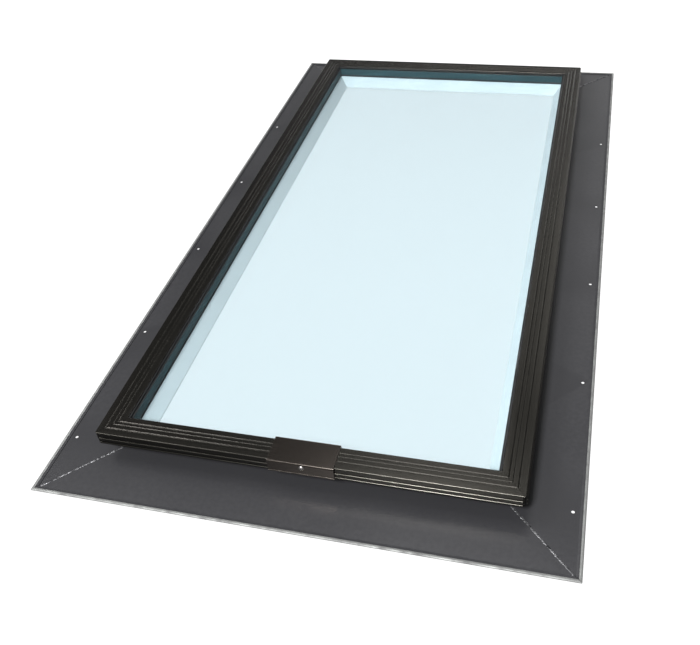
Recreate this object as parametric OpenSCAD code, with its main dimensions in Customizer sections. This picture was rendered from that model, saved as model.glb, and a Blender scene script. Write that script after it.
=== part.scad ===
// Fixed, self-flashed roof skylight: a folded flashing pan, an insulating glass unit and a ridged cap frame.
// Origin: middle of the pan's underside. +Z points away from the roof, +Y up the slope, towards the head.
// Across each side, v is measured inwards from the outer face of the pan's upstand.

/* [Roof opening] */
// Width of the roof opening that the upstand lines up with
opening_w = 571.5; // [450:0.1:800]
// Length of the roof opening, up the slope
opening_l = 1181.1; // [900:0.1:1500]

/* [Flashing pan] */
// Reach of the flat flange beyond the upstand
flange_reach = 101.6; // [75:0.1:140]
// Thickness of the flashing sheet
sheet_t = 1; // [0.7:0.1:1.3]
// Inside radius of the sheet's bends
bend_r = 1; // [0.5:0.1:1.6]
// Height of the upstand, from the roof to the top of its return
upstand_h = 22.4; // [18:0.1:32]
// Width of the hem that is folded over the flange's edge
hem_w = 8; // [5:0.5:12]
// Clear gap inside the hem
hem_gap = 0.8; // [0.4:0.1:1.4]

/* [Nail holes] */
// Diameter of the nail holes in the side flanges
nail_d = 4.8; // [3:0.1:6.5]
// Number of nail holes along each side flange
nail_count = 5; // [2:1:5]
// Distance from one nail hole to the next
nail_pitch = 236.5; // [60:0.5:285]
// Distance from the sill edge to the first nail hole
nail_start = 102.5; // [60:0.5:125]
// Distance from the side edge to the nail holes
nail_edge = 17.5; // [14:0.5:35]

/* [Corner welds] */
// Width of a weld bead
weld_w = 4.4; // [3:0.1:6]
// Height of a weld bead above the flange
weld_h = 0.9; // [0.5:0.1:1.5]

/* [Insulating glass] */
// Thickness of each pane
glass_t = 4; // [3:0.1:6]
// Space between the panes
airspace = 16; // [10:0.5:20]
// Gap between the upstand's outer face line and the edge of the panes
edge_clear = 2.75; // [2:0.05:4]
// Width of the secondary seal round the unit
seal_w = 6.5; // [4:0.1:9]
// Width of a spacer bar
spacer_w = 7; // [5:0.1:9]
// Wall of a spacer bar
spacer_wall = 0.5; // [0.3:0.1:1]
// Thickness of the primary seal above and below the spacer
butyl_t = 0.4; // [0.2:0.1:0.8]
// Length of each arm of a spacer key
spacer_key_l = 25; // [12:1:40]
// Thickness of the glazing tape under the unit
tape_t = 1.6; // [1:0.1:3]
// Length of a setting block
block_l = 100; // [40:1:160]
// Distance of each setting block from the middle of the sill
block_x = 160; // [80:1:170]

/* [Inner liner] */
// Width of the liner's foot
liner_w = 31.5; // [24:0.5:45]
// Height of the upright lip at the liner's inner edge
liner_lip = 5; // [2:0.5:9]

/* [Cap frame] */
// Reach of the cap frame beyond the upstand
cap_overhang = 24.25; // [20:0.05:32]
// Wall of the cap frame's rails
rail_wall = 2; // [1.8:0.1:3]
// Width of glass that the rails cover
glass_bite = 9; // [7:0.1:11]
// Depth of the skirt below the top of the rails
skirt_drop = 21; // [19:0.1:24]
// Height of the inner leg's foot above the roof
leg_foot = 9; // [6:0.1:11]
// Height of the hollow that holds the corner keys
key_room = 10.4; // [8:0.1:13]
// Radius of the rounded upper edge of the skirt
edge_r = 1.2; // [0.5:0.1:1.8]
// Radius of the ground corners of the frame, in plan
corner_r = 5; // [3:0.1:6]
// Gap at each mitre of the frame
mitre_gap = 0.3; // [0.1:0.1:0.6]
// Thickness of the gasket between the rails and the glass
gasket_t = 2; // [1.5:0.1:3]
// Radius of the gasket's bead beside the rails
gasket_bead_r = 1; // [0.7:0.1:1.2]
// Length of each arm of a corner key
key_l = 70; // [40:1:110]

/* [Ridges] */
// Distance from the frame's outer face to the outer groove
outer_groove = 12.2; // [10:0.1:13]
// Distance from the frame's outer face to the fine middle groove
middle_groove = 20.2; // [19:0.1:21]
// Distance from the frame's outer face to the inner groove
inner_groove = 26.2; // [25:0.1:28]
// Radius of the outer and inner grooves
groove_r = 1; // [0.5:0.1:1.2]
// Radius of the middle groove
fine_groove_r = 0.7; // [0.3:0.1:1]
// Radius of the two beads along the skirt
skirt_bead_r = 1.5; // [0.8:0.1:1.6]
// Height from the skirt's lower edge to its lower bead
bead_up = 1.6; // [1.6:0.1:4]
// Distance between the skirt's two beads
bead_pitch = 8.5; // [6:0.1:10]

/* [Sill clip] */
// Width of the clip
clip_w = 96; // [60:1:140]
// Thickness of the clip's sheet
clip_t = 1.5; // [1:0.1:2]
// Distance of the clip from the middle of the sill
clip_x = 4; // [-10:0.5:10]
// Depth of the clip's front, from its top
clip_drop = 21; // [18:0.1:22]
// Reach of the clip past the rail's inner edge
clip_reach = 4.1; // [4:0.1:6]
// Diameter of the clip screw's head
clip_head_d = 8; // [6:0.1:10]
// Distance of the clip screw below the top of the rails
clip_screw_drop = 5.6; // [5:0.1:7]
// Distance of the clip screw from the middle of the clip
clip_screw_x = 2; // [-5:0.5:5]

/* [Cap screws] */
// Diameter of the cap screws
screw_d = 4.2; // [3.5:0.1:5]
// Length of the cap screws under the head
screw_l = 18; // [14:0.5:19]
// Width across the flats of the cap screws' hex head
screw_hex = 7; // [6:0.1:8]
// Diameter of the cap screws' washer
washer_d = 9.5; // [8.5:0.1:10.5]
// Distance between the cap screws along the long sides
long_pitch = 420; // [200:5:440]
// Distance between the cap screws along the short sides
short_pitch = 360; // [150:5:400]

/* [Hidden] */
$fn = 48;

SIDES = ["sill", "head", "left", "right"];

// Clearances
fit = 0.3;         // between separate rigid pieces
screw_fit = 0.15;  // round a screw in the hole that it holds in
inset = 1;         // tape and gasket, in from the edge of the panes
tape_short = 1.5;  // tape, short of the spacer's inner face
liner_short = 0.5; // liner's top, short of the edge of the return
over = 1;          // how far a cutting shape runs past what it cuts

// Stack of heights above the roof
hem_h = 2 * sheet_t + hem_gap;
z_return = upstand_h - sheet_t;
z_inner = upstand_h + tape_t;
z_space = z_inner + glass_t;
z_outer = z_space + airspace;
z_glass = z_outer + glass_t;
z_lip = z_glass + gasket_t;
z_top = z_lip + rail_wall;
z_skirt = z_top - skirt_drop;
z_room = z_lip - key_room;
z_web = z_room - rail_wall;

// Distances inwards from the upstand's outer face
v_flange = -flange_reach;
v_cap = -cap_overhang;
v_leg = -fit;
v_leg_out = v_leg - rail_wall;
v_room = v_cap + rail_wall;
v_spacer = edge_clear + seal_w;
v_sight = v_spacer + spacer_w;
v_rail = edge_clear + glass_bite;
v_liner = sheet_t + fit;
v_foot = v_liner + liner_w;
v_gasket = v_rail + 2 * gasket_bead_r;
v_inset = edge_clear + inset;
v_tape_in = v_sight - tape_short;

// Screws
screw_z = (leg_foot + z_return) / 2;
hex_h = 3.2;
washer_t = 0.9;
tip_l = 3;
clip_screw_d = 3.8;
clip_screw_l = 10;
clip_head_h = 2.4;
recess_w = 0.9;
recess_l = 4.4;
clip_gap = skirt_bead_r + fit;
clip_lip_r = 0.8;

// A side's turn about the middle, its distance from the middle and half its length at the upstand
function turn(side) = side == "sill" ? 0 : side == "right" ? 90 : side == "head" ? 180 : 270;
function is_long(side) = side == "left" || side == "right";
function half_across(side) = (is_long(side) ? opening_w : opening_l) / 2;
function half_along(side) = (is_long(side) ? opening_l : opening_w) / 2;
// +1 where a side's own x runs up the slope, -1 where it runs down
function up_slope(side) = side == "left" ? -1 : 1;
// A corner's signs: -1 at the left and +1 at the right, -1 at the sill and +1 at the head
function x_sign(corner) = corner == "sill_left" || corner == "head_left" ? -1 : 1;
function y_sign(corner) = corner == "sill_left" || corner == "sill_right" ? -1 : 1;

// Puts a side's pieces in place: own x along the side, own y inwards from the upstand's outer face
module on_side(side) {
    rotate([0, 0, turn(side)])
        translate([0, -half_across(side), 0])
            children();
}

// A straight length of one profile (v across, z up), its ends cut to the corner mitres
module mitred_bar(side, v_out, v_in, gap = 0) {
    half_out = half_along(side) - v_out - gap / sqrt(2);
    half_in = half_along(side) - v_in - gap / sqrt(2);
    intersection() {
        rotate([90, 0, 90])
            linear_extrude(2 * half_out + 2 * over, center = true)
                children();
        translate([0, 0, -over])
            linear_extrude(z_top + 2 * over)
                polygon([[-half_out, v_out], [half_out, v_out], [half_in, v_in], [-half_in, v_in]]);
    }
}

// A plain bar of rectangular section between two distances and two heights
module plain_bar(side, v_out, v_in, z_low, z_high, gap = 0) {
    mitred_bar(side, v_out, v_in, gap)
        translate([v_out, z_low])
            square([v_in - v_out, z_high - z_low]);
}

// A quarter bend of sheet in section, round the origin, over the quadrant given by the two signs
module bend(r_in, t, sx, sy) {
    intersection() {
        difference() {
            circle(r_in + t);
            circle(r_in);
        }
        translate([sx > 0 ? 0 : -(r_in + t), sy > 0 ? 0 : -(r_in + t)])
            square(r_in + t);
    }
}

// What is left outside a rounded convex corner: cuts that corner round when subtracted
module corner_cut(r) {
    difference() {
        translate([-over, -over])
            square(r + over);
        translate([r, r])
            circle(r);
    }
}

// Positions of the cap screws along a side
function screw_xs(side) = is_long(side) ? [-long_pitch, 0, long_pitch] : [-short_pitch / 2, short_pitch / 2];

// A hole for each cap screw of a side, from one distance to another
module screw_bores(side, v_from, v_to, d) {
    for (x = screw_xs(side))
        translate([x, v_from, screw_z])
            rotate([-90, 0, 0])
                cylinder(d = d, h = v_to - v_from);
}

// ---- Flashing pan ----

module flashing_profile() {
    hem_r = hem_h / 2;
    // hem: rounded fold at the edge, and the turned-over leg above the flange
    translate([v_flange + hem_r, hem_r])
        difference() {
            circle(hem_r);
            circle(hem_gap / 2);
            translate([0, -hem_r - over])
                square([hem_r + over, 2 * hem_r + 2 * over]);
        }
    translate([v_flange + hem_r, hem_h - sheet_t])
        square([hem_w - hem_r, sheet_t]);
    // flange
    translate([v_flange + hem_r, 0])
        square([flange_reach - hem_r - bend_r, sheet_t]);
    // upstand, bent up out of the flange
    translate([-bend_r, sheet_t + bend_r])
        bend(bend_r, sheet_t, 1, -1);
    translate([0, sheet_t + bend_r])
        square([sheet_t, upstand_h - 2 * sheet_t - 2 * bend_r]);
    // return, bent inwards to carry the glass
    translate([sheet_t + bend_r, z_return - bend_r])
        bend(bend_r, sheet_t, -1, 1);
    translate([sheet_t + bend_r, z_return])
        square([v_sight - sheet_t - bend_r, sheet_t]);
}

module nail_bores(side) {
    for (i = [0 : nail_count - 1]) {
        from_middle = nail_start + i * nail_pitch - opening_l / 2 - flange_reach;
        translate([up_slope(side) * from_middle, v_flange + nail_edge, -over])
            cylinder(d = nail_d, h = sheet_t + 2 * over);
    }
}

module flashing(side) {
    color("#55555a")
        on_side(side)
            difference() {
                mitred_bar(side, v_flange, v_sight)
                    flashing_profile();
                screw_bores(side, -over, sheet_t + over, screw_d + 2 * fit);
                if (is_long(side))
                    nail_bores(side);
            }
}

// One bead along a flange mitre, from the hem to the foot of the upstand
module weld_bead() {
    bead_r = (pow(weld_w / 2, 2) + pow(weld_h, 2)) / (2 * weld_h);
    from = (flange_reach - hem_w) * sqrt(2) - weld_w / 2;
    to = bend_r * sqrt(2) + weld_w / 2;
    intersection() {
        translate([to, 0, sheet_t + weld_h - bead_r])
            rotate([0, 90, 0])
                cylinder(r = bead_r, h = from - to);
        translate([0, -weld_w, sheet_t])
            cube([from + over, 2 * weld_w, weld_h + over]);
    }
}

module weld(corner) {
    color("#b9bbbf")
        translate([x_sign(corner) * opening_w / 2, y_sign(corner) * opening_l / 2, 0])
            rotate([0, 0, atan2(y_sign(corner), x_sign(corner))])
                weld_bead();
}

// ---- Inner liner ----

module liner(side) {
    color("#e6e9ea")
        on_side(side)
            difference() {
                mitred_bar(side, v_liner, v_foot)
                    polygon([
                        [v_liner, 0],
                        [v_foot, 0],
                        [v_foot, liner_lip],
                        [v_sight - liner_short, z_return],
                        [v_liner, z_return],
                        ]);
                // room for the bend where the return leaves the upstand
                mitred_bar(side, v_liner - over, v_liner + bend_r)
                    polygon([
                        [v_liner - over, z_return + over],
                        [v_liner - over, z_return - bend_r],
                        [v_liner, z_return - bend_r],
                        [v_liner + bend_r, z_return],
                        [v_liner + bend_r, z_return + over],
                        ]);
                screw_bores(side, v_liner - over, v_leg_out + screw_l + screw_fit, screw_d + 2 * screw_fit);
            }
}

// ---- Insulating glass unit ----

module tape(side) {
    color("#1d1d1f")
        on_side(side)
            plain_bar(side, v_inset, v_tape_in, upstand_h, z_inner, mitre_gap);
}

module pane(z) {
    pane_w = opening_w - 2 * edge_clear;
    pane_l = opening_l - 2 * edge_clear;
    translate([-pane_w / 2, -pane_l / 2, z])
        cube([pane_w, pane_l, glass_t]);
}

module inner_pane() {
    color("#d7ecf4", 0.5)
        pane(z_inner);
}

module outer_pane() {
    color("#d7ecf4", 0.5)
        pane(z_outer);
}

module spacer(side) {
    color("#56666e")
        on_side(side)
            mitred_bar(side, v_spacer, v_sight, mitre_gap)
                translate([v_spacer, z_space + butyl_t])
                    difference() {
                        square([spacer_w, airspace - 2 * butyl_t]);
                        translate([spacer_wall, spacer_wall])
                            square([
                                spacer_w - 2 * spacer_wall,
                                airspace - 2 * butyl_t - 2 * spacer_wall,
                                ]);
                    }
}

// An L-shaped key in a corner, both arms a strip between two distances inwards from the upstand
module angle_key(corner, v_out, v_in, arm, z_low, z_high) {
    mirror([x_sign(corner) < 0 ? 1 : 0, 0, 0])
        mirror([0, y_sign(corner) < 0 ? 1 : 0, 0]) {
            translate([opening_w / 2 - v_out - arm, opening_l / 2 - v_in, z_low])
                cube([arm, v_in - v_out, z_high - z_low]);
            translate([opening_w / 2 - v_in, opening_l / 2 - v_out - arm, z_low])
                cube([v_in - v_out, arm, z_high - z_low]);
        }
}

module spacer_key(corner) {
    wall = spacer_wall + fit / 2;
    z_low = z_space + butyl_t + wall;
    z_high = z_outer - butyl_t - wall;
    color("#8c9094")
        angle_key(corner, v_spacer + wall, v_sight - wall, spacer_key_l, z_low, z_high);
}

// A closed loop of rectangular section round the unit
module loop(v_out, v_in, z, h) {
    translate([0, 0, z])
        linear_extrude(h)
            difference() {
                square([opening_w - 2 * v_out, opening_l - 2 * v_out], center = true);
                square([opening_w - 2 * v_in, opening_l - 2 * v_in], center = true);
            }
}

module butyl(z) {
    color("#151517")
        loop(v_spacer, v_sight, z, butyl_t);
}

module edge_seal() {
    color("#1b1b1d")
        loop(edge_clear, v_spacer, z_space, airspace);
}

module setting_block(sign) {
    block_gap = fit / 2;
    color("#222224")
        on_side("sill")
            translate([sign * block_x - block_l / 2, v_leg + block_gap, upstand_h])
                cube([block_l, edge_clear - v_leg - 2 * block_gap, z_outer - upstand_h]);
}

// ---- Cap frame ----

module rail_profile() {
    difference() {
        union() {
            // top plate, out to the lip over the glass
            translate([v_cap, z_lip])
                square([v_rail - v_cap, rail_wall]);
            // skirt with its two beads
            translate([v_cap, z_skirt])
                square([rail_wall, skirt_drop - rail_wall]);
            for (i = [0, 1])
                translate([v_cap, z_skirt + bead_up + i * bead_pitch])
                    circle(skirt_bead_r);
            // web under the hollow for the corner keys
            translate([v_room, z_web])
                square([v_leg_out - v_room, rail_wall]);
            // inner leg, down beside the upstand
            translate([v_leg_out, leg_foot])
                square([rail_wall, z_lip - leg_foot]);
        }
        // beads stand out of the skirt's outer face only
        translate([v_room, z_skirt - over])
            square([skirt_bead_r, z_web - z_skirt + over]);
        translate([v_cap + outer_groove, z_top])
            circle(groove_r);
        translate([v_cap + middle_groove, z_top])
            circle(fine_groove_r);
        translate([v_cap + inner_groove, z_top])
            circle(groove_r);
        translate([v_cap, z_top])
            mirror([0, 1])
                corner_cut(edge_r);
        translate([v_rail, z_top])
            mirror([1, 0])
                mirror([0, 1])
                    corner_cut(edge_r / 2);
    }
}

module rail(side) {
    v_out = v_cap - skirt_bead_r;
    color("#3b3833")
        on_side(side)
            difference() {
                mitred_bar(side, v_out, v_rail, mitre_gap)
                    rail_profile();
                // both ends of the rail ground round, in plan
                for (end = [0, 1])
                    mirror([end, 0, 0])
                        translate([half_along(side) + cap_overhang, v_cap, z_skirt - over])
                            linear_extrude(skirt_drop + 2 * over)
                                mirror([1, 0])
                                    ground_corner();
                screw_bores(side, v_leg_out - over, v_leg + over, screw_d + 2 * fit);
                if (side == "sill")
                    clip_screw_bore(v_cap - skirt_bead_r - over, v_room + over);
            }
}

// The corner outside the ground radius, with room for the beads that stand out of the skirt
module ground_corner() {
    difference() {
        translate([-skirt_bead_r - over, -skirt_bead_r - over])
            square(corner_r + skirt_bead_r + over);
        translate([corner_r, corner_r])
            circle(corner_r);
    }
}

module corner_key(corner) {
    color("#a9abad")
        angle_key(corner, v_room + fit, v_leg_out - fit, key_l, z_room, z_lip - fit);
}

module gasket_profile() {
    translate([v_inset, z_glass])
        square([v_rail + gasket_bead_r - v_inset, gasket_t / 2]);
    translate([v_inset, z_glass])
        square([v_rail - v_inset, gasket_t]);
    translate([v_rail + gasket_bead_r, z_glass + gasket_bead_r])
        circle(gasket_bead_r);
}

module gasket(side) {
    color("#17171a")
        on_side(side)
            mitred_bar(side, edge_clear, v_gasket, mitre_gap)
                gasket_profile();
}

// Hex washer screw, its point along +Z and its washer's face at z = 0
module cap_screw() {
    translate([0, 0, -washer_t - hex_h])
        cylinder(d = screw_hex / cos(30), h = hex_h, $fn = 6);
    translate([0, 0, -washer_t])
        cylinder(d = washer_d, h = washer_t);
    cylinder(d = screw_d, h = screw_l - tip_l);
    translate([0, 0, screw_l - tip_l])
        cylinder(d1 = screw_d, d2 = screw_d / 4, h = tip_l);
}

module cap_screws() {
    color("#9a9c9f")
        for (side = SIDES, x = screw_xs(side))
            on_side(side)
                translate([x, v_leg_out, screw_z])
                    rotate([-90, 0, 0])
                        cap_screw();
}

// ---- Sill clip ----

module clip_profile() {
    v_front = v_cap - clip_gap;
    v_back = v_rail + clip_reach;
    r = bend_r;
    lip_r = clip_lip_r;
    z_clip = z_top + clip_t;
    z_kick = z_clip - clip_drop + lip_r + clip_t;
    // flat over the rail
    translate([v_front + r, z_top])
        square([v_back - v_front - clip_t - 2 * r, clip_t]);
    // front, down over the skirt, with its foot turned out
    translate([v_front + r, z_top - r])
        bend(r, clip_t, -1, 1);
    translate([v_front - clip_t, z_kick])
        square([clip_t, z_top - r - z_kick]);
    translate([v_front - clip_t - lip_r, z_kick])
        bend(lip_r, clip_t, 1, -1);
    // back, down to the glass
    translate([v_back - clip_t - r, z_top - r])
        bend(r, clip_t, 1, 1);
    translate([v_back - clip_t, z_glass + fit])
        square([clip_t, z_top - r - z_glass - fit]);
}

module clip_screw_place() {
    on_side("sill")
        translate([clip_x + clip_screw_x, v_cap - clip_gap - clip_t, z_top - clip_screw_drop])
            rotate([-90, 0, 0])
                children();
}

// The clip screw's hole through what lies between two distances
module clip_screw_bore(v_from, v_to) {
    translate([clip_x + clip_screw_x, v_from, z_top - clip_screw_drop])
        rotate([-90, 0, 0])
            cylinder(d = clip_screw_d + 2 * screw_fit, h = v_to - v_from);
}

module sill_clip() {
    color("#544d47")
        on_side("sill")
            difference() {
                translate([clip_x, 0, 0])
                    rotate([90, 0, 90])
                        linear_extrude(clip_w, center = true)
                            clip_profile();
                clip_screw_bore(v_cap - clip_gap - clip_t - over, v_cap - clip_gap + over);
            }
}

// Pan-head screw, its point along +Z and the underside of its head at z = 0
module clip_screw() {
    dome_r = (pow(clip_head_d / 2, 2) + pow(clip_head_h, 2)) / (2 * clip_head_h);
    color("#8d8a86")
        clip_screw_place() {
            difference() {
                intersection() {
                    translate([0, 0, dome_r - clip_head_h])
                        sphere(dome_r);
                    translate([0, 0, -clip_head_h])
                        cylinder(d = clip_head_d, h = clip_head_h);
                }
                for (a = [0, 90])
                    rotate([0, 0, a])
                        translate([-recess_l / 2, -recess_w / 2, -clip_head_h - over])
                            cube([recess_l, recess_w, over + clip_head_h / 2]);
            }
            cylinder(d = clip_screw_d, h = clip_screw_l - tip_l);
            translate([0, 0, clip_screw_l - tip_l])
                cylinder(d1 = clip_screw_d, d2 = clip_screw_d / 4, h = tip_l);
        }
}

flashing("sill");  // flashing_sill
flashing("head");  // flashing_head
flashing("left");  // flashing_left
flashing("right");  // flashing_right
weld("sill_left");  // weld_sill_left
weld("sill_right");  // weld_sill_right
weld("head_left");  // weld_head_left
weld("head_right");  // weld_head_right
liner("sill");  // liner_sill
liner("head");  // liner_head
liner("left");  // liner_left
liner("right");  // liner_right
tape("sill");  // tape_sill
tape("head");  // tape_head
tape("left");  // tape_left
tape("right");  // tape_right
inner_pane();
outer_pane();
spacer("sill");  // spacer_sill
spacer("head");  // spacer_head
spacer("left");  // spacer_left
spacer("right");  // spacer_right
spacer_key("sill_left");  // spacer_key_sill_left
spacer_key("sill_right");  // spacer_key_sill_right
spacer_key("head_left");  // spacer_key_head_left
spacer_key("head_right");  // spacer_key_head_right
butyl(z_space);  // butyl_inner
butyl(z_outer - butyl_t);  // butyl_outer
edge_seal();
setting_block(-1);  // setting_block_left
setting_block(1);  // setting_block_right
rail("sill");  // rail_sill
rail("head");  // rail_head
rail("left");  // rail_left
rail("right");  // rail_right
corner_key("sill_left");  // corner_key_sill_left
corner_key("sill_right");  // corner_key_sill_right
corner_key("head_left");  // corner_key_head_left
corner_key("head_right");  // corner_key_head_right
gasket("sill");  // gasket_sill
gasket("head");  // gasket_head
gasket("left");  // gasket_left
gasket("right");  // gasket_right
cap_screws();
sill_clip();
clip_screw();
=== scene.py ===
"""Fixed, self-flashed roof skylight: the visual model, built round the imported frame.

Sizes are in millimetres until a mesh is made, and the row frame is in metres. Across each side of the
skylight, v is the distance inwards from the outer face of the pan's upstand.
"""

import logging
import math
from dataclasses import dataclass, field
from enum import Enum
from typing import Iterable, Sequence

import bmesh
import bpy
from mathutils import Matrix, Vector
from mathutils.geometry import tessellate_polygon


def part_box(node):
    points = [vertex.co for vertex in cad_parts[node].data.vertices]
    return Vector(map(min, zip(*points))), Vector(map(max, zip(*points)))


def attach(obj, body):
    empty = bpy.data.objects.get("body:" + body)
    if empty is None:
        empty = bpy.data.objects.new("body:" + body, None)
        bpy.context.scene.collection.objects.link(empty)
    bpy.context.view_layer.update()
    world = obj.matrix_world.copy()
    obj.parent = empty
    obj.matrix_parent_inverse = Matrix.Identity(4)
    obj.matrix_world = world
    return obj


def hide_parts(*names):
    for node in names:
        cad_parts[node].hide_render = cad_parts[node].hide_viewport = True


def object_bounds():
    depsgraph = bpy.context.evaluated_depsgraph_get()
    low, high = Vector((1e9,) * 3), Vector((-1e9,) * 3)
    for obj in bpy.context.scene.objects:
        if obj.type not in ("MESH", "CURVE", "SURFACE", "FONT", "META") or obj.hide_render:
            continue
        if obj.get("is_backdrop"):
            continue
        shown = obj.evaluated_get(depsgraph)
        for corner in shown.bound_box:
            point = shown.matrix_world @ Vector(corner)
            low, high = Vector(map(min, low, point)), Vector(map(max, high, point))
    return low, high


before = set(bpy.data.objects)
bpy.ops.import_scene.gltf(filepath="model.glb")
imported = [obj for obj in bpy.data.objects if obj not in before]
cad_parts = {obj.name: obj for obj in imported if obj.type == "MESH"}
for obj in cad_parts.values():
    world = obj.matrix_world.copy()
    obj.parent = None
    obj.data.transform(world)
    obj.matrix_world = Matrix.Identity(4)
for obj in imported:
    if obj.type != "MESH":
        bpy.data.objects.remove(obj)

LOG = logging.getLogger("skylight")
MM = 0.001
BODY = "root"
UV_NAME = "UVMap"
EDGE_NAME = "edge"
TURN_NAME = "turn"
FLANGE_REACH = 101.6
MERGE_DISTANCE = 1e-7
WHITE = (1.0, 1.0, 1.0, 1.0)

Colour = tuple[float, float, float]
Point = tuple[float, float]


class Side(Enum):
    """The four sides, each with its turn about the middle in degrees."""

    SILL = 0
    RIGHT = 90
    HEAD = 180
    LEFT = 270

    @property
    def label(self) -> str:
        """The side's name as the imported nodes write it."""
        return self.name.lower()

    @property
    def is_long(self) -> bool:
        """True for the two sides that run up the slope."""
        return self in (Side.LEFT, Side.RIGHT)


def box_mm(node: str) -> tuple[Vector, Vector]:
    """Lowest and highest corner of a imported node, in millimetres."""
    low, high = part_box(node)
    return low / MM, high / MM


@dataclass(frozen=True)
class Layout:
    """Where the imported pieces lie, in millimetres."""

    half_w: float
    half_l: float
    reach: float
    v_cap: float
    v_lip: float
    v_sight: float
    v_foot: float
    z_return: float
    z_upstand: float
    z_glass: float
    z_lip: float
    z_top: float
    z_foot: float

    @classmethod
    def from_frame(cls, reach: float, bead: float) -> "Layout":
        """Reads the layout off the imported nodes.

        Args:
            reach: Reach of the flange beyond the upstand.
            bead: How far the beads stand out of the cap frame's skirt.

        Returns:
            The layout that every sub-assembly is built to.
        """
        pan_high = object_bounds()[1] / MM
        half_w, half_l = pan_high.x - reach, pan_high.y - reach
        rail_low, rail_high = box_mm("rail_sill")
        gasket_low, gasket_high = box_mm("gasket_sill")
        liner_high = box_mm("liner_sill")[1]
        pan_sill_high = box_mm("flashing_sill")[1]
        return cls(
            half_w=half_w,
            half_l=half_l,
            reach=reach,
            v_cap=rail_low.y + half_l + bead,
            v_lip=rail_high.y + half_l,
            v_sight=pan_sill_high.y + half_l,
            v_foot=liner_high.y + half_l,
            z_return=liner_high.z,
            z_upstand=pan_sill_high.z,
            z_glass=gasket_low.z,
            z_lip=gasket_high.z,
            z_top=rail_high.z,
            z_foot=rail_low.z,
        )

    def across(self, side: Side) -> float:
        """Distance from the middle to the side's upstand."""
        return self.half_w if side.is_long else self.half_l

    def along(self, side: Side) -> float:
        """Half the side's length, at the upstand."""
        return self.half_l if side.is_long else self.half_w

    def place(self, side: Side) -> Matrix:
        """The matrix from a side's own x (along), v (inwards) and z to the row frame.

        Args:
            side: The side to lay a piece along.

        Returns:
            The matrix, which takes millimetres to metres.
        """
        turn = Matrix.Rotation(math.radians(side.value), 4, "Z")
        return Matrix.Scale(MM, 4) @ turn @ Matrix.Translation((0.0, -self.across(side), 0.0))


# ---- Drawing sections ----


@dataclass
class Outline:
    """A closed outline in a side's section, drawn point by point; edge says how exposed each point is, and at
    groove shoulders it marks a painted highlight.
    """

    points: list[Point] = field(default_factory=list)
    edge: list[float] = field(default_factory=list)

    def to(self, v: float, z: float, edge: float = 0.0) -> "Outline":
        """Adds one point.

        Args:
            v: Its distance inwards.
            z: Its height.
            edge: How exposed it is, from 0 to 1.

        Returns:
            The outline itself.
        """
        self.points.append((v, z))
        self.edge.append(edge)
        return self

    def arc(self, v: float, z: float, r: float, start: float, end: float, steps: int = 8,
            edge: float = 0.0) -> "Outline":
        """Adds an arc.

        Args:
            v: Distance inwards of the centre.
            z: Height of the centre.
            r: Radius.
            start: First angle in degrees, from +v towards +z.
            end: Last angle in degrees.
            steps: Number of facets.
            edge: How exposed the arc's points are, from 0 to 1.

        Returns:
            The outline itself.
        """
        for i in range(steps + 1):
            a = math.radians(start + (end - start) * i / steps)
            self.to(v + r * math.cos(a), z + r * math.sin(a), edge)
        return self

    def groove(self, v: float, z: float, half: float, depth: float, steps: int = 12,
               rubbed_and_lit: float = 0.35) -> "Outline":
        """Adds a smooth groove in a level top, drawn towards +v; its shoulders are marked fully exposed, so
        that the edge wear paints them lighter as painted highlights.

        Args:
            v: Distance inwards of the groove's middle.
            z: Height of the top.
            half: Half the groove's width.
            depth: Depth of the groove.
            steps: Number of facets.
            rubbed_and_lit: How far out from each shoulder the painted highlight fades away.

        Returns:
            The outline itself.
        """
        self.to(v - half - rubbed_and_lit, z)
        for i in range(steps + 1):
            t = 2 * i / steps - 1
            # shoulder points get the full edge value, which the coat's edge wear turns into a painted
            # highlight
            lit_shoulder = 1.0 if i in (0, 1, steps - 1, steps) else 0.0
            self.to(v + t * half, z - depth * (1 + math.cos(math.pi * t)) / 2, lit_shoulder)
        return self.to(v + half + rubbed_and_lit, z)


@dataclass
class Fold:
    """A folded sheet's section, walked along the middle of the sheet's thickness."""

    v: float
    z: float
    heading: float
    thickness: float
    path: list[tuple[float, float, float, float]] = field(default_factory=list)

    def __post_init__(self) -> None:
        """Starts the walk at the sheet's cut edge."""
        self._mark(1.0)

    def _mark(self, edge: float) -> None:
        """Keeps the place that the walk has come to."""
        self.path.append((self.v, self.z, self.heading, edge))

    def run(self, length: float) -> "Fold":
        """Walks straight on.

        Args:
            length: How far.

        Returns:
            The fold itself.
        """
        self.v += length * math.cos(self.heading)
        self.z += length * math.sin(self.heading)
        self._mark(0.0)
        return self

    def bend(self, angle: float, r_in: float, steps: int = 10) -> "Fold":
        """Walks round a bend.

        Args:
            angle: Turn in degrees, positive to the left.
            r_in: Inside radius of the bend.
            steps: Number of facets.

        Returns:
            The fold itself.
        """
        radius = r_in + self.thickness / 2
        left = math.copysign(1.0, angle)
        step = math.radians(angle) / steps
        cv = self.v - left * radius * math.sin(self.heading)
        cz = self.z + left * radius * math.cos(self.heading)
        for _ in range(steps):
            self.heading += step
            self.v = cv + left * radius * math.sin(self.heading)
            self.z = cz - left * radius * math.cos(self.heading)
            self._mark(0.7)
        return self

    def outline(self) -> Outline:
        """Both faces of the sheet.

        Returns:
            One closed outline, out along one face and back along the other.
        """
        half = self.thickness / 2
        shape = Outline()
        for sign, walk in ((1, self.path), (-1, self.path[::-1])):
            for v, z, heading, edge in walk:
                shape.to(v - sign * half * math.sin(heading), z + sign * half * math.cos(heading), edge)
        return shape


# ---- Making meshes ----


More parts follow.
